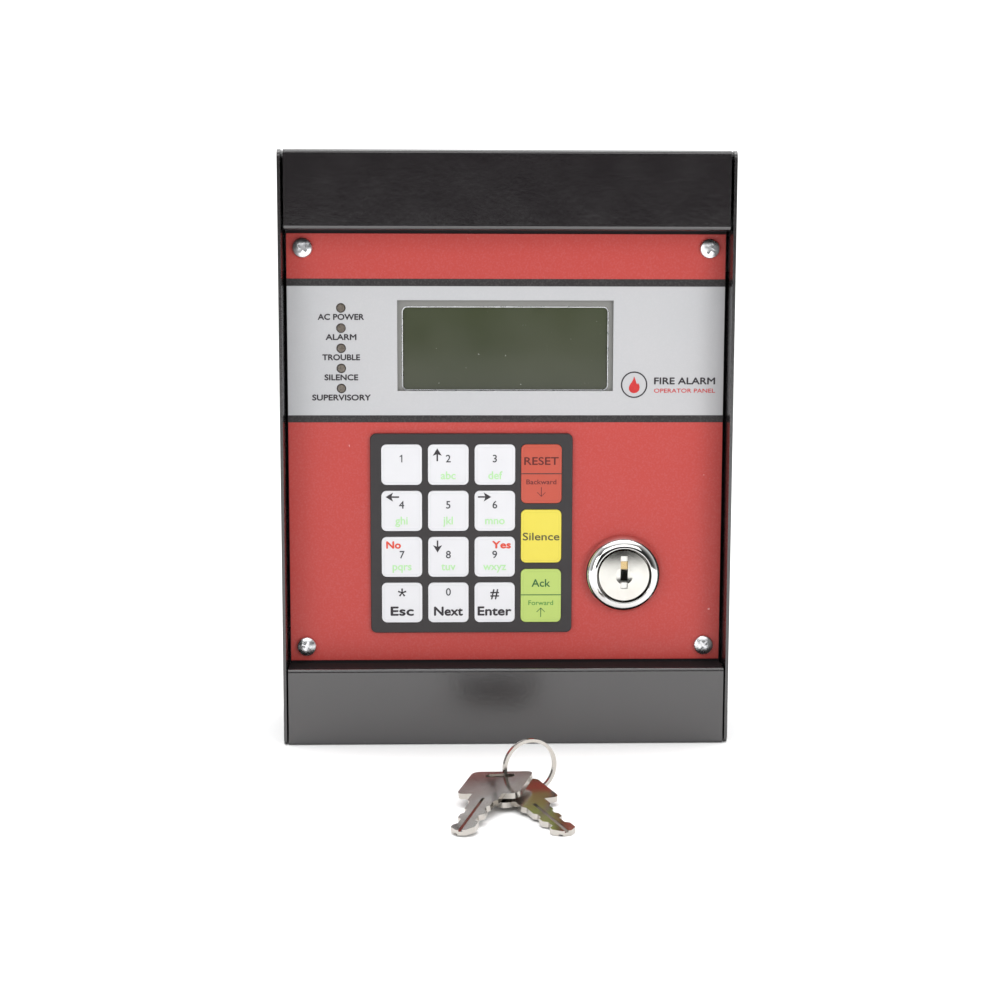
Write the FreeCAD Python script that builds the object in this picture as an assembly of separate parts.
"""Fire alarm control panel: a small surface-mounted operator panel with display, keypad and key switch.

All lengths are in millimetres.  +X is right as seen from the front, +Z is up and the front faces -Y.
The origin is the centre of the wall-fixing hole pattern, on the back plane of the case.
"""

import FreeCAD, Part
import math
import os

V = FreeCAD.Vector

# ---------------------------------------------------------------- driving dimensions: case
case_width = 178.0
case_height = 235.0
case_depth = 63.5
sheet = 1.2
bend_inside = 0.3
wall_corner_radius = 3.0
wall_setback = 0.4
cover_half_width = 87.0
hood_side_relief = 0.4
hood_height = 30.7
lip_height = 31.0
recess_depth = 12.7
flange_gap = 0.4
joint_gap = 0.05
window_clearance = 0.3

ground_stud_x = 62.0
ground_stud_height = 28.0
ground_stud_radius = 2.0
ground_stud_length = 16.4
ground_stud_flange_radius = 4.0
ground_nut_across_flats = 7.0
ground_nut_height = 3.2
ground_nut_starts = (-6.0, -11.0)

fixing_spacing_x = 127.0
fixing_spacing_z = 178.0
fixing_hole_radius = 2.75
cable_entry_width = 64.0
cable_entry_height = 40.0
cable_entry_corner = 6.0
cable_entry_height_above_base = 75.0

cover_screw_x = 80.3
cover_screw_low = 37.9
cover_screw_high = 197.4
cover_screw_radius = 2.0
cover_screw_hole_radius = 2.4
cover_screw_head_radius = 3.9
cover_screw_head_height = 2.5
cover_screw_tip = 8.6
cross_recess_width = 1.15
cross_recess_length = 4.3
cross_recess_turns = (20.0, 35.0, 45.0, 30.0)
cover_screw_dome = 1.1
cover_screw_ease = 0.7
cross_recess_depth = 1.6

bracket_length = 15.0
bracket_leg = 12.0
bracket_height = 18.0
clinch_nut_radius = 4.0
clinch_nut_length = 3.4

# ---------------------------------------------------------------- driving dimensions: front panel
overlay_thickness = 0.3
overlay_half_width = 86.7
overlay_low = 32.1
overlay_high = 203.0

display_x = -0.4
display_window_width = 85.8
display_window_height = 35.9
display_window_middle = 159.05
bezel_opening_width = 81.4
bezel_opening_height = 32.6
bezel_opening_middle = 157.85
bezel_opening_corner = 1.5
bezel_width = 97.0
bezel_height = 44.0
bezel_depth = 8.4
bezel_skin = 0.8
glass_width = 91.0
glass_height = 40.0
glass_thickness = 2.6
backlight_width = 88.0
backlight_height = 38.0
backlight_thickness = 3.0
display_board_width = 112.0
display_board_height = 58.0
board_thickness = 1.6
display_hole_x = 51.5
display_hole_z = 24.5

lamp_x = -65.5
lamp_high = 173.9
lamp_pitch = 7.95
lamp_lead = 0.5
lamp_lead_offset = 1.27
lamp_lead_hole_radius = 0.6
lamp_count = 5
lamp_radius = 1.58
lamp_hole_radius = 1.9
lamp_flange_radius = 1.95
lamp_stand_radius = 2.6

keypad_x = -13.85
keypad_middle = 83.85
keypad_width = 80.9
keypad_height = 80.7
keypad_corner = 2.4
keypad_base_thickness = 0.3
tail_height = 104.0
tail_width = 20.0
tail_thickness = 0.2
tail_slot_half_width = 12.0
dome_thickness = 0.2
dome_radius = 4.5
key_size = 16.25
key_pitch = 18.62
key_corner = 2.1
key_gap = 0.15
key_thickness = 0.85
key_proud = 0.2
key_travel = 0.4
keypad_face_height = 1.3
reset_height = 23.7
silence_height = 21.5
acknowledge_height = 21.7

# ---------------------------------------------------------------- driving dimensions: key switch
switch_x = 47.3
switch_middle = 67.35
collar_rim_radius = 15.6
collar_rim_height = 0.3
collar_shoulder_radius = 14.5
collar_shoulder_height = 4.6
collar_height = 6.5
collar_bore_radius = 10.85
collar_shelf = 1.2
barrel_radius = 9.5
barrel_hole_radius = 9.9
barrel_flange_radius = 10.5
barrel_flange = 1.5
barrel_rear = -27.6
plug_face_radius = 10.4
plug_radius = 7.0
plug_crown = 0.7
plug_dish_radius = 3.75
plug_dish_depth = 0.6
plug_tail_radius = 3.0
plug_tail_length = 8.0
running_fit = 0.05
keyway_width = 2.9
keyway_low = -5.25
keyway_high = 7.95
keyway_depth = 22.0
keyway_step = 2.2
wafer_count = 5
wafer_thickness = 0.9
wafer_pitch = 3.4
switch_nut_across_flats = 25.0
switch_nut_height = 4.0
cam_radius = 8.5
cam_flat = 2.5
cam_thickness = 3.5
contact_block_width = 28.0
contact_block_depth = 18.0
tag_pitch = 8.0
tag_width = 2.4
tag_thickness = 0.8
tag_length = 4.0
tag_above_axis = 6.0
wire_radius = 0.7
wire_pitch = 3.2
contact_block_grip = 4.0

# ---------------------------------------------------------------- driving dimensions: electronics
main_board_width = 146.0
main_board_low = 92.0
main_board_high = 194.0
main_board_front = -30.0
main_hole_x = 68.0
main_hole_low = 96.5
main_hole_high = 189.5
stud_radius = 1.5
stud_bore_radius = 1.525
stud_clearance_radius = 1.8
stud_past_board = 4.0
standoff_across_flats = 6.0
nut_across_flats = 5.5
nut_height = 2.4

terminal_pitch = 5.08
terminal_ways = 8
terminal_lefts = (-50.0, 5.0)
terminal_from_edge = 3.0
terminal_depth = 10.0
terminal_tall_part = 8.0
terminal_ledge = 2.5
terminal_ledge_depth = 7.0
terminal_well_radius = 1.9
terminal_screw_radius = 1.6
terminal_screw_height = 4.6
ribbon_width = 22.0
ribbon_header_width = 24.0
ribbon_header_low = 138.0
ribbon_header_high = 183.0
program_header_height = 160.0
wire_header_low = 110.0
sounder_x = 40.0
sounder_height = 172.0
sounder_radius = 11.5
sounder_depth = 9.8
sounder_hole_radius = 1.6

# ---------------------------------------------------------------- driving dimensions: operating keys
key_blade_length = 32.5
key_blade_width = 8.6
key_bow_width = 23.0
key_bow_height = 21.5
key_metal = 2.0
key_bow_corner = 2.6
key_slot_length = 11.0
key_slot_width = 3.0
key_slot_from_edge = 4.0
ring_outer_radius = 10.3
ring_band = 1.2
ring_wire = 0.75
ring_turn_gap = 0.06
ring_joint_angle = -115.0
ring_heading = 20.0
ring_x = 6.0
ring_from_case = 70.0
ring_height = 10.45

# ---------------------------------------------------------------- derived values
base = -case_height / 2.0
front = -case_depth
plate_front = front + recess_depth
plate_rear = plate_front + sheet
overlay_front = plate_front - overlay_thickness
inner_half_width = case_width / 2.0 - sheet
main_board_rear = main_board_front + board_thickness
display_board_front = plate_rear + bezel_depth
display_board_rear = display_board_front + board_thickness
hood_bottom = case_height - hood_height

os.makedirs("parts", exist_ok=True)


# ---------------------------------------------------------------- shape helpers
def up(height_above_base):
    """Height above the bottom of the case, turned into a Z coordinate."""
    return base + height_above_base


def block(x0, x1, y0, y1, z0, z1):
    return Part.makeBox(x1 - x0, y1 - y0, z1 - z0, V(x0, y0, z0))


def rod(x, z, radius, y0, y1):
    """A round bar along Y."""
    return Part.makeCylinder(radius, y1 - y0, V(x, y0, z), V(0, 1, 0))


def tube(x, z, outer, inner, y0, y1):
    return rod(x, z, outer, y0, y1).cut(rod(x, z, inner, y0 - 1, y1 + 1))


def hexagon(x, z, across_flats, y0, y1):
    """A six-sided bar along Y."""
    corner = across_flats / math.sqrt(3.0)
    points = []
    for step in range(7):
        angle = math.radians(60.0 * step)
        points.append(V(x + corner * math.cos(angle), y0, z + corner * math.sin(angle)))
    return Part.Face(Part.makePolygon(points)).extrude(V(0, y1 - y0, 0))


def rounded_slab(x0, x1, z0, z1, y0, y1, radius):
    """A flat slab standing in the XZ plane with its four corners rounded along Y."""
    slab = block(x0, x1, y0, y1, z0, z1)
    corners = [e for e in slab.Edges if abs(e.tangentAt(e.FirstParameter).y) > 0.99]
    return slab.makeFillet(radius, corners)


def eased_slab(x0, x1, z0, z1, y0, y1, radius, ease):
    """A rounded slab whose front rim is also eased."""
    slab = rounded_slab(x0, x1, z0, z1, y0, y1, radius)
    rim = [e for e in slab.Edges if all(abs(v.Point.y - y0) < 1e-6 for v in e.Vertexes)]
    return slab.makeFillet(ease, rim)


def folded_strip(points, thickness, inside_radius, lift):
    """A sheet-metal strip with right-angle folds.

    `points` is the centre line, `lift` turns a flat (a, b) pair and a width into a 3-D point.
    """
    middle_radius = inside_radius + thickness / 2.0
    left = []
    right = []

    def step(start, end):
        length = math.hypot(end[0] - start[0], end[1] - start[1])
        return ((end[0] - start[0]) / length, (end[1] - start[1]) / length)

    def offset(point, direction, side):
        half = side * thickness / 2.0
        return (point[0] - direction[1] * half, point[1] + direction[0] * half)

    first = step(points[0], points[1])
    left.append(("p", offset(points[0], first, 1)))
    right.append(("p", offset(points[0], first, -1)))
    for before, corner, after in zip(points, points[1:], points[2:]):
        d1 = step(before, corner)
        d2 = step(corner, after)
        centre = (
            corner[0] + (d2[0] - d1[0]) * middle_radius,
            corner[1] + (d2[1] - d1[1]) * middle_radius,
        )
        start = (corner[0] - d1[0] * middle_radius, corner[1] - d1[1] * middle_radius)
        end = (corner[0] + d2[0] * middle_radius, corner[1] + d2[1] * middle_radius)
        turn = d1[0] * d2[1] - d1[1] * d2[0]
        towards = step(centre, corner)
        for side, edge in ((1, left), (-1, right)):
            radius = middle_radius - side * math.copysign(1.0, turn) * thickness / 2.0
            through = (centre[0] + towards[0] * radius, centre[1] + towards[1] * radius)
            edge.append(("p", offset(start, d1, side)))
            edge.append(("a", through, offset(end, d2, side)))
    last = step(points[-2], points[-1])
    left.append(("p", offset(points[-1], last, 1)))
    right.append(("p", offset(points[-1], last, -1)))

    edges = []

    def trace(side):
        here = side[0][1]
        for item in side[1:]:
            if item[0] == "p":
                edges.append(Part.makeLine(lift(here), lift(item[1])))
                here = item[1]
            else:
                edges.append(Part.Arc(lift(here), lift(item[1]), lift(item[2])).toShape())
                here = item[2]
        return here

    left_end = trace(left)
    right_end = trace(right)
    edges.append(Part.makeLine(lift(left[0][1]), lift(right[0][1])))
    edges.append(Part.makeLine(lift(left_end), lift(right_end)))
    return Part.Face(Part.Wire(Part.__sortEdges__(edges)))


def turned(profile, x, z):
    """A turned part about a Y axis; `profile` lists (radius, y) corners."""
    points = [V(x + r, y, z) for r, y in profile]
    face = Part.Face(Part.makePolygon(points + [points[0]]))
    return face.revolve(V(x, 0, z), V(0, 1, 0), 360)


def mirrored(shape):
    """The same shape on the other side of the YZ plane."""
    return shape.mirror(V(0, 0, 0), V(1, 0, 0))


def whole(shapes):
    """Several solids joined into one."""
    solid = shapes[0]
    for other in shapes[1:]:
        solid = solid.fuse(other)
    return solid.removeSplitter()


def save(name, shape):
    """Write one piece, or a group of identical pieces."""
    if isinstance(shape, list):
        shape = Part.makeCompound(shape) if len(shape) > 1 else shape[0]
    if shape.ShapeType == "Compound" and len(shape.Solids) == 1:
        shape = shape.Solids[0]
    shape.exportStep("parts/" + name + ".step")


def corner_points():
    """The four cover-screw positions."""
    for x in (-cover_screw_x, cover_screw_x):
        for height in (cover_screw_low, cover_screw_high):
            yield x, up(height)


def display_points():
    """The four fixings of the display board."""
    for x in (display_x - display_hole_x, display_x + display_hole_x):
        for z in (-display_hole_z, display_hole_z):
            yield x, up(display_window_middle - 1.0) + z


def main_points():
    """The four fixings of the main board."""
    for x in (-main_hole_x, main_hole_x):
        for height in (main_hole_low, main_hole_high):
            yield x, up(height)


def lamp_points():
    for number in range(lamp_count):
        yield lamp_x, up(lamp_high - number * lamp_pitch)


# ---------------------------------------------------------------- back box
def back_box():
    """Back and two side walls folded from one sheet."""
    side = case_width / 2.0 - sheet / 2.0
    back = -sheet / 2.0
    wall_front = front + wall_setback
    profile = folded_strip(
        [(-side, wall_front), (-side, back), (side, back), (side, wall_front)],
        sheet,
        bend_inside,
        lambda p: V(p[0], p[1], base),
    )
    box = profile.extrude(V(0, 0, case_height))
    for low in (True, False):
        z = base if low else base + case_height - wall_corner_radius
        corner = block(
            -case_width, case_width, wall_front, wall_front + wall_corner_radius, z, z + wall_corner_radius
        )
        centre = V(-case_width, wall_front + wall_corner_radius, z + (wall_corner_radius if low else 0.0))
        rounding = Part.makeCylinder(wall_corner_radius, 2 * case_width, centre, V(1, 0, 0))
        box = box.cut(corner.cut(rounding))
    for x in (-fixing_spacing_x / 2.0, fixing_spacing_x / 2.0):
        for z in (-fixing_spacing_z / 2.0, fixing_spacing_z / 2.0):
            box = box.cut(rod(x, z, fixing_hole_radius, -sheet - 1, 1))
    entry = rounded_slab(
        -cable_entry_width / 2.0,
        cable_entry_width / 2.0,
        up(cable_entry_height_above_base) - cable_entry_height / 2.0,
        up(cable_entry_height_above_base) + cable_entry_height / 2.0,
        -sheet - 1,
        1,
        cable_entry_corner,
    )
    return box.cut(entry)


def cover_brackets():
    """Folded angles welded inside the side walls; the cover screws run into them."""
    outside = inner_half_width - joint_gap - sheet / 2.0
    face = plate_rear + joint_gap + sheet / 2.0
    angle = folded_strip(
        [(outside, face + bracket_leg), (outside, face), (outside - bracket_length, face)],
        sheet,
        bend_inside,
        lambda p: V(p[0], p[1], 0),
    ).extrude(V(0, 0, bracket_height))
    solids = []
    for x, z in corner_points():
        one = angle.copy()
        if x < 0:
            one = mirrored(one)
        one.translate(V(0, 0, z - bracket_height / 2.0))
        hole = rod(x, z, cover_screw_hole_radius, plate_rear - 1, plate_rear + 4)
        solids.append(one.cut(hole))
    return solids


def clinch_nuts():
    start = plate_rear + joint_gap + sheet
    return [
        tube(x, z, clinch_nut_radius, cover_screw_radius + 0.025, start, start + clinch_nut_length)
        for x, z in corner_points()
    ]


def ground_parts():
    """Earth stud on the back plate with its two nuts."""
    x = ground_stud_x
    z = up(ground_stud_height)
    flange = -sheet - 1.0
    end = -sheet - ground_stud_length
    profile = [
        (0, -sheet),
        (ground_stud_flange_radius, -sheet),
        (ground_stud_flange_radius, flange),
        (ground_stud_radius, flange),
        (ground_stud_radius, end + 0.6),
        (ground_stud_radius - 0.4, end),
        (0, end),
    ]
    stud = turned(profile, x, z)
    nuts = []
    for start in ground_nut_starts:
        nut = hexagon(x, z, ground_nut_across_flats, start - ground_nut_height, start)
        nuts.append(nut.cut(rod(x, z, ground_stud_radius + 0.025, start - 5, start + 1)))
    return stud, nuts


# ---------------------------------------------------------------- front cover
def switch_opening(y0, y1):
    return rod(switch_x, up(switch_middle), barrel_hole_radius, y0, y1)


def front_cover():
    """Hood, recessed plate and lip folded from one sheet."""
    half = sheet / 2.0
    rear = -sheet - flange_gap
    face = front + half
    plate = plate_front + half
    path = [
        (rear, up(case_height) - half),
        (face, up(case_height) - half),
        (face, up(hood_bottom) + half),
        (plate, up(hood_bottom) + half),
        (plate, up(lip_height) - half),
        (face, up(lip_height) - half),
        (face, up(0) + half),
        (rear, up(0) + half),
    ]
    profile = folded_strip(path, sheet, bend_inside, lambda p: V(-cover_half_width, p[0], p[1]))
    cover = profile.extrude(V(2 * cover_half_width, 0, 0))
    for x in (-cover_half_width - 1, cover_half_width - hood_side_relief):
        relief = block(
            x, x + 1 + hood_side_relief, front - 1, rear + 1, up(hood_bottom - 1), up(case_height + 1)
        )
        cover = cover.cut(relief)
    through = (plate_front - 2, plate_rear + 2)
    for x, z in corner_points():
        cover = cover.cut(rod(x, z, cover_screw_hole_radius, *through))
    for x, z in lamp_points():
        cover = cover.cut(rod(x, z, lamp_hole_radius, *through))
    cover = cover.cut(switch_opening(*through))
    window = block(
        display_x - display_window_width / 2.0 - window_clearance,
        display_x + display_window_width / 2.0 + window_clearance,
        through[0],
        through[1],
        up(display_window_middle) - display_window_height / 2.0 - window_clearance,
        up(display_window_middle) + display_window_height / 2.0 + window_clearance,
    )
    cover = cover.cut(window)
    return cover.cut(tail_slot(through[0], through[1], 2.5))


def board_studs():
    """Studs welded to the back of the recessed plate, four for the display and four for the main board."""
    studs = []
    for x, z in display_points():
        studs.append(rod(x, z, stud_radius, plate_rear, display_board_rear + stud_past_board))
    for x, z in main_points():
        studs.append(rod(x, z, stud_radius, plate_rear, main_board_rear + stud_past_board))
    return studs


def tail_slot(y0, y1, half_height):
    """The hidden slot that lets the keypad tail through behind the keypad."""
    z = up(tail_height)
    left = keypad_x - tail_slot_half_width
    right = keypad_x + tail_slot_half_width
    return block(left, right, y0, y1, z - half_height, z + half_height)


def graphic_overlay():
    """Printed film on the recessed plate."""
    film = block(
        -overlay_half_width,
        overlay_half_width,
        overlay_front,
        plate_front,
        up(overlay_low),
        up(overlay_high),
    )
    window = block(
        display_x - display_window_width / 2.0,
        display_x + display_window_width / 2.0,
        overlay_front - 1,
        plate_front + 1,
        up(display_window_middle) - display_window_height / 2.0,
        up(display_window_middle) + display_window_height / 2.0,
    )
    film = film.cut(window)
    for x, z in corner_points():
        film = film.cut(rod(x, z, cover_screw_hole_radius, overlay_front - 1, plate_front + 1))
    for x, z in lamp_points():
        film = film.cut(rod(x, z, lamp_hole_radius, overlay_front - 1, plate_front + 1))
    film = film.cut(switch_opening(overlay_front - 1, plate_front + 1))
    return film.cut(tail_slot(overlay_front - 1, plate_front + 1, 4.0))


def cover_screws():
    """Pan-head screws with cross recesses."""
    under_head = overlay_front
    top = under_head - cover_screw_head_height
    dome_sphere = (cover_screw_head_radius**2 + cover_screw_dome**2) / (2.0 * cover_screw_dome)
    solids = []
    for (x, z), turn in zip(corner_points(), cross_recess_turns):
        head = rod(x, z, cover_screw_head_radius, top, under_head)
        head = head.common(Part.makeSphere(dome_sphere, V(x, top + dome_sphere, z)))
        brim = top + cover_screw_dome
        rim = [e for e in head.Edges if len(e.Vertexes) == 1 and abs(e.Vertexes[0].Point.y - brim) < 1e-3]
        head = head.makeFillet(cover_screw_ease, rim)
        shank = rod(x, z, cover_screw_radius, under_head - 0.1, under_head + cover_screw_tip)
        screw = head.fuse(shank).removeSplitter()
        arms = ((cross_recess_width, cross_recess_length), (cross_recess_length, cross_recess_width))
        for across, along in arms:
            slot = block(
                x - across / 2.0,
                x + across / 2.0,
                top - 1,
                top + cross_recess_depth,
                z - along / 2.0,
                z + along / 2.0,
            )
            slot.rotate(V(x, 0, z), V(0, 1, 0), turn)
            screw = screw.cut(slot)
        solids.append(screw)
    return solids


# ---------------------------------------------------------------- display
def display_parts():
    middle = up(display_window_middle)
    opening = up(bezel_opening_middle)
    bezel = eased_slab(
        display_x - bezel_width / 2.0,
        display_x + bezel_width / 2.0,
        middle - bezel_height / 2.0,
        middle + bezel_height / 2.0,
        plate_rear,
        display_board_front,
        1.2,
        0.5,
    )
    hollow = block(
        display_x - bezel_width / 2.0 + bezel_skin,
        display_x + bezel_width / 2.0 - bezel_skin,
        plate_rear + bezel_skin,
        display_board_front + 1,
        middle - bezel_height / 2.0 + bezel_skin,
        middle + bezel_height / 2.0 - bezel_skin,
    )
    view = rounded_slab(
        display_x - bezel_opening_width / 2.0,
        display_x + bezel_opening_width / 2.0,
        opening - bezel_opening_height / 2.0,
        opening + bezel_opening_height / 2.0,
        plate_rear - 1,
        plate_rear + 2,
        bezel_opening_corner,
    )
    bezel = bezel.cut(hollow).cut(view)
    glass_front = plate_rear + bezel_skin + joint_gap
    glass = block(
        display_x - glass_width / 2.0,
        display_x + glass_width / 2.0,
        glass_front,
        glass_front + glass_thickness,
        middle - glass_height / 2.0,
        middle + glass_height / 2.0,
    )
    light_front = glass_front + glass_thickness + joint_gap
    light = block(
        display_x - backlight_width / 2.0,
        display_x + backlight_width / 2.0,
        light_front,
        light_front + backlight_thickness,
        middle - backlight_height / 2.0,
        middle + backlight_height / 2.0,
    )
    left = display_x + backlight_width / 2.0
    lead = block(left, left + 2.5, light_front + 1.0, light_front + 2.0, middle - 6.0, middle + 6.0)
    board = rounded_slab(
        display_x - display_board_width / 2.0,
        display_x + display_board_width / 2.0,
        middle - 1.0 - display_board_height / 2.0,
        middle - 1.0 + display_board_height / 2.0,
        display_board_front,
        display_board_rear,
        1.5,
    )
    spacers = []
    nuts = []
    for x, z in display_points():
        board = board.cut(rod(x, z, stud_clearance_radius, display_board_front - 1, display_board_rear + 1))
        spacers.append(tube(x, z, 2.8, stud_clearance_radius, plate_rear, display_board_front))
        nut = hexagon(x, z, nut_across_flats, display_board_rear, display_board_rear + nut_height)
        nuts.append(nut.cut(rod(x, z, stud_bore_radius, display_board_rear - 1, display_board_rear + 4)))
    return bezel, glass, light.fuse(lead).removeSplitter(), board, spacers, nuts


# ---------------------------------------------------------------- keypad
def key_outlines():
    """Every key as (name, x0, x1, z0, z1)."""
    names = (
        ("key_1", "key_2", "key_3"),
        ("key_4", "key_5", "key_6"),
        ("key_7", "key_8", "key_9"),
        ("key_star", "key_0", "key_hash"),
    )
    half = key_size / 2.0
    for row, line in enumerate(names):
        z = up(keypad_middle) + (1.5 - row) * key_pitch
        for column, name in enumerate(line):
            x = keypad_x + (column - 1.5) * key_pitch
            yield name, x - half, x + half, z - half, z + half
    x = keypad_x + 1.5 * key_pitch
    top = up(keypad_middle) + 1.5 * key_pitch + half
    bottom = up(keypad_middle) - 1.5 * key_pitch - half
    spare = top - bottom - reset_height - silence_height - acknowledge_height
    middle_top = top - reset_height - spare / 2.0
    yield "key_reset", x - half, x + half, top - reset_height, top
    yield "key_silence", x - half, x + half, middle_top - silence_height, middle_top
    yield "key_acknowledge", x - half, x + half, bottom, bottom + acknowledge_height


def keypad_parts():
    base_front = overlay_front - keypad_base_thickness
    face = base_front - keypad_face_height
    dome_front = base_front - dome_thickness
    x0 = keypad_x - keypad_width / 2.0
    x1 = keypad_x + keypad_width / 2.0
    z0 = up(keypad_middle) - keypad_height / 2.0
    z1 = up(keypad_middle) + keypad_height / 2.0
    backing = rounded_slab(x0, x1, z0, z1, base_front, overlay_front, keypad_corner)
    frame = eased_slab(x0, x1, z0, z1, face, base_front, keypad_corner, 0.4)
    domes = []
    keys = {}
    for name, kx0, kx1, kz0, kz1 in key_outlines():
        hole = rounded_slab(
            kx0 - key_gap,
            kx1 + key_gap,
            kz0 - key_gap,
            kz1 + key_gap,
            face - 1,
            base_front + 1,
            key_corner + key_gap,
        )
        frame = frame.cut(hole)
        top = face - key_proud
        keys[name] = eased_slab(kx0, kx1, kz0, kz1, top, top + key_thickness, key_corner, 0.25)
        domes.append(rod((kx0 + kx1) / 2.0, (kz0 + kz1) / 2.0, dome_radius, dome_front, base_front))
    return backing, frame, domes, keys


def keypad_tail():
    """Flat flexible tail from the keypad backing to its header on the main board."""
    top = up(tail_height) + 3.0
    low = up(tail_height) - 0.5
    path = [
        (overlay_front + tail_thickness / 2.0, top),
        (overlay_front + tail_thickness / 2.0, low),
        (main_board_front - 3.0, low),
    ]
    strip = folded_strip(path, tail_thickness, 0.4, lambda p: V(keypad_x - tail_width / 2.0, p[0], p[1]))
    return strip.extrude(V(tail_width, 0, 0))


# ---------------------------------------------------------------- status lamps
def lamp_parts():
    """Five round lamps, seated on sleeves above the main board."""
    lamps = []
    sleeves = []
    flange_front = plate_rear + 0.6
    for x, z in lamp_points():
        body = rod(x, z, lamp_radius, overlay_front, flange_front + 0.1)
        rounds = [e for e in body.Edges if len(e.Vertexes) == 1]
        rim = [e for e in rounds if abs(e.Vertexes[0].Point.y - overlay_front) < 1e-6]
        body = body.makeFillet(0.35, rim)
        flange = rod(x, z, lamp_flange_radius, flange_front, flange_front + 1.0)
        lamp = body.fuse(flange)
        for side in (-lamp_lead_offset, lamp_lead_offset):
            left = x + side - lamp_lead / 2.0
            low = z - lamp_lead / 2.0
            near = flange_front + 0.9
            far = main_board_rear + 1.2
            lamp = lamp.fuse(block(left, left + lamp_lead, near, far, low, low + lamp_lead))
        lamps.append(lamp.removeSplitter())
        sleeve = rod(x, z, lamp_stand_radius, flange_front + 1.0, main_board_front)
        core = block(x - 1.9, x + 1.9, flange_front, main_board_front + 1, z - 0.6, z + 0.6)
        sleeves.append(sleeve.cut(core))
    return lamps, sleeves


# ---------------------------------------------------------------- main board
def main_board():
    board = rounded_slab(
        -main_board_width / 2.0,
        main_board_width / 2.0,
        up(main_board_low),
        up(main_board_high),
        main_board_front,
        main_board_rear,
        2.0,
    )
    for x, z in main_points():
        board = board.cut(rod(x, z, stud_clearance_radius, main_board_front - 1, main_board_rear + 1))
    for x, z in lamp_points():
        for side in (-lamp_lead_offset, lamp_lead_offset):
            hole = rod(x + side, z, lamp_lead_hole_radius, main_board_front - 1, main_board_rear + 1)
            board = board.cut(hole)
    return board


def main_fixings():
    standoffs = []
    nuts = []
    for x, z in main_points():
        pillar = hexagon(x, z, standoff_across_flats, plate_rear, main_board_front)
        standoffs.append(pillar.cut(rod(x, z, stud_clearance_radius, plate_rear - 1, main_board_front + 1)))
        nut = hexagon(x, z, nut_across_flats, main_board_rear, main_board_rear + nut_height)
        nuts.append(nut.cut(rod(x, z, stud_bore_radius, main_board_rear - 1, main_board_rear + 4)))
    return standoffs, nuts


def chip(x, height, width, tall, thick, pins):
    """A chip package with a row of leads down each long side, on the rear of the main board."""
    z = up(height)
    body = block(
        x - width / 2.0,
        x + width / 2.0,
        main_board_rear + 0.4,
        main_board_rear + thick,
        z - tall / 2.0,
        z + tall / 2.0,
    )
    shapes = [body]
    pitch = width / pins
    for number in range(pins):
        px = x - width / 2.0 + (number + 0.5) * pitch
        for side in (-1, 1):
            outer = z + side * (tall / 2.0 + 1.2)
            inner = z + side * (tall / 2.0 - 0.3)
            low = min(outer, inner)
            high = max(outer, inner)
            shapes.append(block(px - 0.25, px + 0.25, main_board_rear, main_board_rear + 0.9, low, high))
    return whole(shapes)


def terminal_parts():
    """Two eight-way screw terminal blocks along the lower edge of the main board, with their screws."""
    blocks = []
    screws = []
    low = up(main_board_low + terminal_from_edge)
    step = low + terminal_tall_part
    middle = low + terminal_screw_height
    rear = main_board_rear
    for left in terminal_lefts:
        right = left + terminal_pitch * terminal_ways
        housing = block(left, right, rear, rear + terminal_depth, low, step)
        ledge = block(left, right, rear, rear + terminal_ledge_depth, step, step + terminal_ledge)
        housing = housing.fuse(ledge)
        for way in range(terminal_ways):
            x = left + (way + 0.5) * terminal_pitch
            well = rod(x, middle, terminal_well_radius, rear + 6.0, rear + 11.0)
            entry = block(x - 1.5, x + 1.5, rear + 1.2, rear + 4.4, low - 1.0, low + 6.0)
            housing = housing.cut(well).cut(entry)
            head = rod(x, middle, terminal_screw_radius, rear + 6.2, rear + 8.6)
            slot = block(x - 2.0, x + 2.0, rear + 7.7, rear + 9.0, middle - 0.3, middle + 0.3)
            screws.append(head.cut(slot))
        blocks.append(housing.removeSplitter())
    return blocks, screws


def header_connectors():
    """Keypad, display, programming and key-switch headers."""
    z_tail = up(tail_height) - 0.5
    left = keypad_x - tail_slot_half_width
    right = keypad_x + tail_slot_half_width
    tail = block(left, right, main_board_front - 5.0, main_board_front, z_tail - 3.0, z_tail + 3.0)
    slot_half = tail_width / 2.0 + 0.2
    slot = block(
        keypad_x - slot_half,
        keypad_x + slot_half,
        main_board_front - 6.0,
        main_board_front - 2.9,
        z_tail - 0.3,
        z_tail + 0.3,
    )
    tail = tail.cut(slot)
    half = ribbon_header_width / 2.0
    near = ribbon_middle() - 0.45
    far = ribbon_middle() + 0.45
    z_low = up(ribbon_header_low)
    display_low = block(-half, half, far, main_board_front, z_low - 2.6, z_low + 2.6)
    z_high = up(ribbon_header_high)
    display_high = block(-half, half, display_board_rear, near, z_high - 2.4, z_high + 2.4)
    z_program = up(program_header_height)
    rear = main_board_rear
    outer = block(56.0, 63.0, rear, rear + 6.0, z_program - 8.0, z_program + 8.0)
    inner = block(57.0, 62.0, rear + 1.5, rear + 7.0, z_program - 7.0, z_program + 7.0)
    z_wire = up(wire_header_low)
    wire_header = block(switch_x + 8.0, switch_x + 18.5, rear, rear + 7.0, z_wire, z_wire + 5.0)
    return [tail, display_low, display_high, outer.cut(inner), wire_header]


def ribbon_middle():
    """Y of the ribbon, half way between the display board and the main board."""
    return (display_board_rear + main_board_front) / 2.0


def display_ribbon():
    half = ribbon_width / 2.0
    y = ribbon_middle()
    return block(-half, half, y - 0.4, y + 0.4, up(ribbon_header_low - 3.0), up(ribbon_header_high + 3.0))


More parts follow.
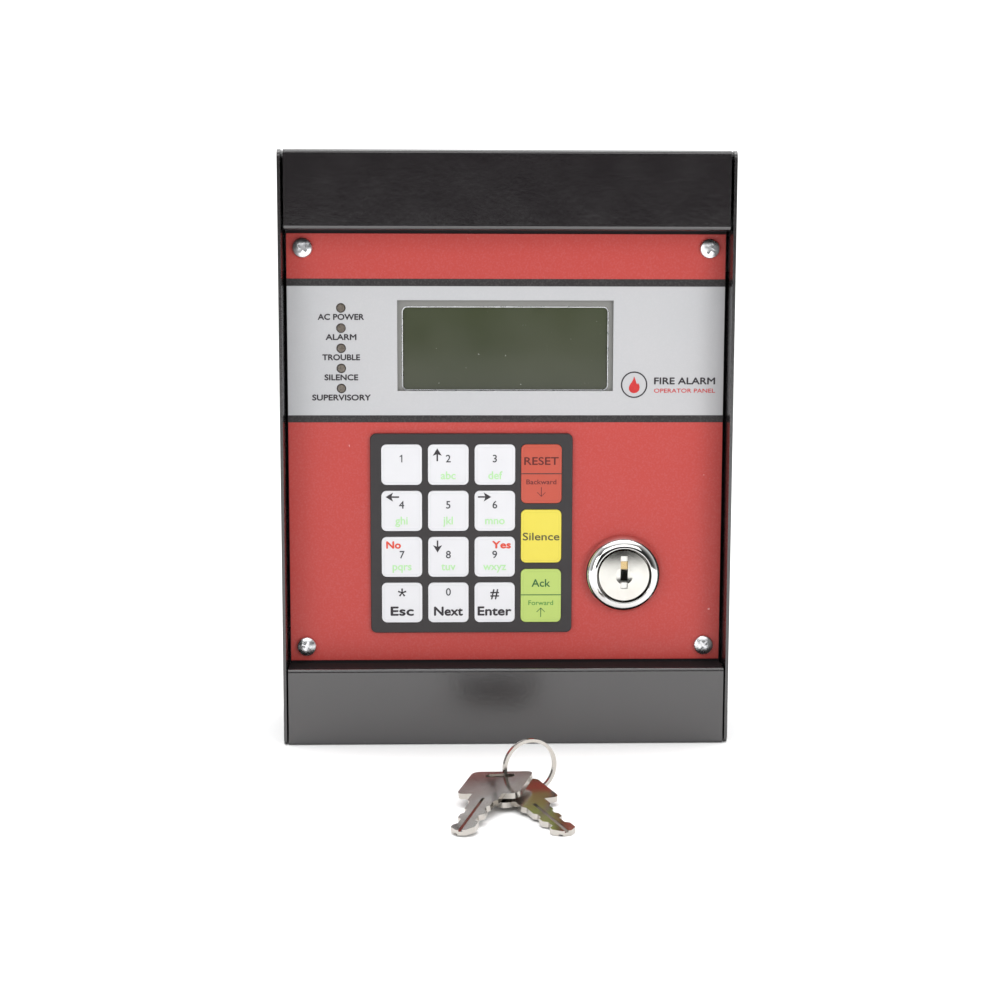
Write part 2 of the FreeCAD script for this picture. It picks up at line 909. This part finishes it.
def sounder():
    """Round piezo sounder with its sound hole."""
    z = up(sounder_height)
    rear = main_board_rear
    profile = [
        (0, rear),
        (sounder_radius, rear),
        (sounder_radius, rear + sounder_depth - 0.8),
        (sounder_radius - 0.8, rear + sounder_depth),
        (0, rear + sounder_depth),
    ]
    body = turned(profile, sounder_x, z)
    return body.cut(rod(sounder_x, z, sounder_hole_radius, rear + 6.0, rear + 12.0))


# ---------------------------------------------------------------- key switch
def switch_collar():
    """Domed ring seen around the key switch."""
    rear = overlay_front
    rim_front = rear - collar_rim_height
    top = rear - collar_height
    x = switch_x
    z = up(switch_middle)
    inner_edge = collar_bore_radius + 0.5
    start = V(x + collar_rim_radius, rim_front, z)
    shoulder = V(x + collar_shoulder_radius, rear - collar_shoulder_height, z)
    end = V(x + inner_edge, top, z)
    shelf_front = rear - collar_shelf
    shelf_bore = barrel_radius + 0.4
    bore_front = V(x + collar_bore_radius, top + 0.5, z)
    edges = [
        Part.makeLine(V(x + shelf_bore, rear, z), V(x + collar_rim_radius, rear, z)),
        Part.makeLine(V(x + collar_rim_radius, rear, z), start),
        Part.Arc(start, shoulder, end).toShape(),
        Part.Arc(end, V(x + collar_bore_radius + 0.15, top + 0.15, z), bore_front).toShape(),
        Part.makeLine(bore_front, V(x + collar_bore_radius, shelf_front, z)),
        Part.makeLine(V(x + collar_bore_radius, shelf_front, z), V(x + shelf_bore, shelf_front, z)),
        Part.makeLine(V(x + shelf_bore, shelf_front, z), V(x + shelf_bore, rear, z)),
    ]
    face = Part.Face(Part.Wire(edges))
    return face.revolve(V(x, 0, z), V(0, 1, 0), 360)


def switch_barrel():
    shelf_front = overlay_front - collar_shelf
    barrel = turned(
        [
            (plug_radius + running_fit, shelf_front - barrel_flange),
            (barrel_flange_radius, shelf_front - barrel_flange),
            (barrel_flange_radius, shelf_front),
            (barrel_radius, shelf_front),
            (barrel_radius, barrel_rear),
            (plug_radius + running_fit, barrel_rear),
        ],
        switch_x,
        up(switch_middle),
    )
    return barrel


def switch_plug():
    """The part the operating key turns."""
    x = switch_x
    z = up(switch_middle)
    face_front = overlay_front - collar_height + 0.1
    face_rear = overlay_front - collar_shelf - barrel_flange - 0.1
    rim = face_front + plug_crown
    crown_at = plug_face_radius - 0.3
    crown_sphere = (crown_at**2 + plug_crown**2) / (2.0 * plug_crown)
    halfway = crown_at / 2.0
    halfway_y = face_front + crown_sphere - math.sqrt(crown_sphere**2 - halfway**2)
    edges = [Part.Arc(V(x, face_front, z), V(x + halfway, halfway_y, z), V(x + crown_at, rim, z)).toShape()]
    corners = [
        (crown_at, rim),
        (plug_face_radius, rim + 0.3),
        (plug_face_radius, face_rear),
        (plug_radius, face_rear),
        (plug_radius, barrel_rear),
        (plug_tail_radius, barrel_rear),
        (plug_tail_radius, barrel_rear + plug_tail_length),
        (0, barrel_rear + plug_tail_length),
        (0, face_front),
    ]
    for here, there in zip(corners, corners[1:]):
        edges.append(Part.makeLine(V(x + here[0], here[1], z), V(x + there[0], there[1], z)))
    plug = Part.Face(Part.Wire(edges)).revolve(V(x, 0, z), V(0, 1, 0), 360)
    dish_sphere = (plug_dish_radius**2 + plug_dish_depth**2) / (2.0 * plug_dish_depth)
    plug = plug.cut(Part.makeSphere(dish_sphere, V(x, face_front - dish_sphere + plug_dish_depth, z)))
    half = keyway_width / 2.0
    mouth = rounded_slab(
        x - half, x + half, z + keyway_low, z + keyway_high, face_front - 1, face_rear, 0.3
    )
    deep = block(
        x - half,
        x + half,
        face_rear - 0.5,
        face_front + keyway_depth,
        z + keyway_low,
        z + keyway_high - keyway_step,
    )
    return plug.cut(mouth).cut(deep), face_front


def switch_wafers(face_front):
    """Brass wafers standing one behind another in the upper part of the keyway."""
    x = switch_x
    z = up(switch_middle)
    half = keyway_width / 2.0 - 0.1
    plates = []
    for number in range(wafer_count):
        y = face_front + 1.3 + number * wafer_pitch
        plates.append(block(x - half, x + half, y, y + wafer_thickness, z + 2.55, z + 5.7))
    return plates


def switch_shutter(face_front):
    """Pale guide pieces closing the top and bottom of the keyway mouth."""
    x = switch_x
    z = up(switch_middle)
    half = keyway_width / 2.0 - 0.1
    top = block(x - half, x + half, face_front + 1.0, face_front + 2.7, z + 5.85, z + keyway_high - 0.1)
    bottom = block(x - half, x + half, face_front + 1.0, face_front + 6.0, z + keyway_low + 0.1, z - 2.9)
    return [top, bottom]


def switch_nut():
    z = up(switch_middle)
    end = plate_rear + switch_nut_height
    nut = hexagon(switch_x, z, switch_nut_across_flats, plate_rear, end)
    return nut.cut(rod(switch_x, z, barrel_radius + running_fit, plate_rear - 1, end + 1))


def switch_cam_parts():
    """Cam on the plug tail, and the screw that holds it."""
    x = switch_x
    z = up(switch_middle)
    start = barrel_rear + 0.2
    end = start + cam_thickness
    cam = rod(x, z, cam_radius, start, end)
    top = z + cam_radius
    flat = block(x - cam_radius - 1, x + cam_radius + 1, start - 1, end + 1, top - cam_flat, top + 1)
    cam = cam.cut(flat)
    cam = cam.cut(rod(x, z, plug_tail_radius + 0.025, start - 1, end + 1))
    clip_start = end + 0.2
    clip = tube(x, z, 5.0, plug_tail_radius + 0.025, clip_start, clip_start + 1.0)
    return cam, clip


def contact_parts():
    """Contact block gripping the rear of the barrel, and its solder tags."""
    x = switch_x
    z = up(switch_middle)
    half = contact_block_width / 2.0
    start = barrel_rear - contact_block_grip
    end = start + contact_block_depth
    housing = rounded_slab(x - half, x + half, z - half, z + half, start, end, 2.5)
    housing = housing.cut(rod(x, z, barrel_radius + running_fit, start - 1, barrel_rear))
    housing = housing.cut(rod(x, z, cam_radius + 0.6, barrel_rear - 0.5, end - 3.0))
    tags = []
    low = z + tag_above_axis
    for offset in (-tag_pitch, 0.0, tag_pitch):
        left = x + offset - tag_width / 2.0
        tags.append(block(left, left + tag_width, end, end + tag_length, low, low + tag_thickness))
    return housing, tags, end


def switch_wires(tag_start):
    """Three short leads from the solder tags to the key-switch header."""
    solids = []
    z_tag = up(switch_middle) + tag_above_axis + tag_thickness
    z_header = up(wire_header_low)
    for number, offset in enumerate((-tag_pitch, 0.0, tag_pitch)):
        x = switch_x + offset
        x_end = switch_x + 10.0 + wire_pitch * number
        y = tag_start + 2.5
        y_header = main_board_rear + 3.4
        points = [
            V(x, y, z_tag + 0.75),
            V(x, y, z_tag + 10.0),
            V(x_end, main_board_rear + 9.0, z_header - 8.0),
            V(x_end, y_header, z_header - 2.8),
            V(x_end, y_header, z_header - 0.1),
        ]
        curve = Part.BSplineCurve()
        curve.interpolate(points, InitialTangent=V(0, 0, 1), FinalTangent=V(0, 0, 1))
        path = Part.Wire(curve.toShape())
        section = Part.Wire(Part.makeCircle(wire_radius, points[0], V(0, 0, 1)))
        solids.append(path.makePipeShell([section], True, False))
    return solids


# ---------------------------------------------------------------- operating keys
def operating_key():
    """One key lying flat: tip at the origin, pointing along -Y, bow along +Y, underside at z = 0."""
    half = key_blade_width / 2.0
    bow_half = key_bow_width / 2.0
    blade = key_blade_length
    outline = [
        (-half + 2.6, 0.0),
        (half - 2.6, 0.0),
        (half, 2.6),
        (half, 7.0),
        (half - 1.6, 8.4),
        (half - 1.6, 12.6),
        (half, 14.0),
        (half, 17.0),
        (half - 1.1, 18.0),
        (half - 1.1, 20.4),
        (half, 21.4),
        (half, 25.0),
        (half + 1.3, 27.0),
        (half + 1.3, blade),
        (bow_half, blade),
        (bow_half, blade + key_bow_height),
        (-bow_half, blade + key_bow_height),
        (-bow_half, blade),
        (-half - 1.3, blade),
        (-half - 1.3, 27.0),
        (-half, 25.0),
        (-half, 19.0),
        (-half + 1.1, 18.0),
        (-half + 1.1, 15.0),
        (-half, 14.0),
        (-half, 11.0),
        (-half + 1.6, 9.6),
        (-half + 1.6, 6.0),
        (-half, 4.6),
        (-half, 2.6),
    ]
    points = [V(x, y, 0) for x, y in outline]
    plate = Part.Face(Part.makePolygon(points + [points[0]])).extrude(V(0, 0, key_metal))
    corners = []
    for edge in plate.Edges:
        point = edge.Vertexes[0].Point
        upright = abs(edge.tangentAt(edge.FirstParameter).z) > 0.99
        at_bow = abs(abs(point.x) - bow_half) < 1e-6
        if upright and at_bow:
            corners.append(edge)
    plate = plate.makeFillet(key_bow_corner, corners)
    slot_y = blade + key_bow_height - key_slot_from_edge
    slot = block(
        -key_slot_length / 2.0,
        key_slot_length / 2.0,
        slot_y - key_slot_width / 2.0,
        slot_y + key_slot_width / 2.0,
        -1,
        key_metal + 1,
    )
    rounds = [e for e in slot.Edges if abs(e.tangentAt(e.FirstParameter).z) > 0.99]
    plate = plate.cut(slot.makeFillet(key_slot_width / 2.0 - 0.05, rounds))
    groove = block(-0.8, 0.6, -1, blade - 4.0, key_metal - 0.7, key_metal + 1)
    under_groove = block(-2.6, -1.4, -1, blade - 4.0, -1, 0.7)
    return plate.cut(groove).cut(under_groove)


def placed_key(shape, heading, tip_x, tip_y, tilt, roll, lift):
    """Tilt the bow up, roll about the key's length, turn about Z and set the tip in place."""
    key = shape.copy()
    key.rotate(V(0, 0, 0), V(0, 1, 0), roll)
    key.rotate(V(0, 0, 0), V(1, 0, 0), tilt)
    key.rotate(V(0, 0, 0), V(0, 0, 1), heading)
    key.translate(V(tip_x, tip_y, base + lift))
    return key


def key_ring():
    """Split ring of two flat turns standing through both slots."""
    middle = ring_outer_radius - ring_band / 2.0
    ring = None
    for turn in (-1, 1):
        start = turn * (ring_wire + ring_turn_gap) / 2.0 - ring_wire / 2.0
        band = tube(0, 0, ring_outer_radius, ring_outer_radius - ring_band, start, start + ring_wire)
        ring = band if ring is None else ring.fuse(band)
    half = ring_band / 2.0 - 0.1
    bridge = block(middle - half, middle + half, -ring_wire / 2.0, ring_wire / 2.0, -2.0, 2.0)
    ring = ring.fuse(bridge.common(rod(0, 0, ring_outer_radius - 0.05, -1, 1)))
    ring = ring.removeSplitter()
    ring.rotate(V(0, 0, 0), V(0, 1, 0), ring_joint_angle)
    ring.rotate(V(0, 0, 0), V(0, 0, 1), ring_heading)
    ring.translate(V(ring_x, front - ring_from_case, base + ring_height))
    return ring


# ---------------------------------------------------------------- build every piece
save("back_box", back_box())
save("cover_brackets", cover_brackets())
save("clinch_nuts", clinch_nuts())
stud, stud_nuts = ground_parts()
save("ground_stud", stud)
save("ground_nuts", stud_nuts)
save("front_cover", front_cover())
save("board_studs", board_studs())
save("graphic_overlay", graphic_overlay())
save("cover_screws", cover_screws())

bezel, glass, backlight, display_board, display_spacers, display_nuts = display_parts()
save("display_bezel", bezel)
save("display_glass", glass)
save("display_backlight", backlight)
save("display_board", display_board)
save("display_spacers", display_spacers)
save("display_nuts", display_nuts)

backing, frame, domes, keys = keypad_parts()
save("keypad_backing", backing)
save("keypad_frame", frame)
save("keypad_domes", domes)
for name, solid in keys.items():
    save(name, solid)
save("keypad_tail", keypad_tail())

lamps, sleeves = lamp_parts()
save("status_lamps", lamps)
save("lamp_sleeves", sleeves)

save("main_board", main_board())
standoffs, board_nuts = main_fixings()
save("board_standoffs", standoffs)
save("board_nuts", board_nuts)
save("chips", [
    chip(-30.0, 150.0, 40.0, 13.0, 3.6, 16),
    chip(20.0, 140.0, 18.0, 8.0, 2.4, 9),
    chip(-34.0, 176.0, 18.0, 8.0, 2.4, 9),
    chip(-4.0, 172.0, 14.0, 14.0, 3.0, 8),
])
terminal_blocks, terminal_screws = terminal_parts()
save("terminal_blocks", terminal_blocks)
save("terminal_screws", terminal_screws)
save("header_connectors", header_connectors())
save("display_ribbon", display_ribbon())
save("sounder", sounder())

save("switch_collar", switch_collar())
save("switch_barrel", switch_barrel())
plug, plug_front = switch_plug()
save("switch_plug", plug)
save("switch_wafers", switch_wafers(plug_front))
save("switch_shutter", switch_shutter(plug_front))
save("switch_nut", switch_nut())
cam, cam_clip = switch_cam_parts()
save("switch_cam", cam)
save("switch_cam_clip", cam_clip)
contact_block, solder_tags, tag_start = contact_parts()
save("switch_contact_block", contact_block)
save("switch_tags", solder_tags)
save("switch_wires", switch_wires(tag_start))

blank = operating_key()
save("operating_key_lower", placed_key(blank, 20.0, 16.3, front - 119.5, 2.9, 0.0, 0.0))
save("operating_key_upper", placed_key(blank, -17.5, -19.4, front - 119.6, 6.0, -5.5, 0.6))
save("key_ring", key_ring())
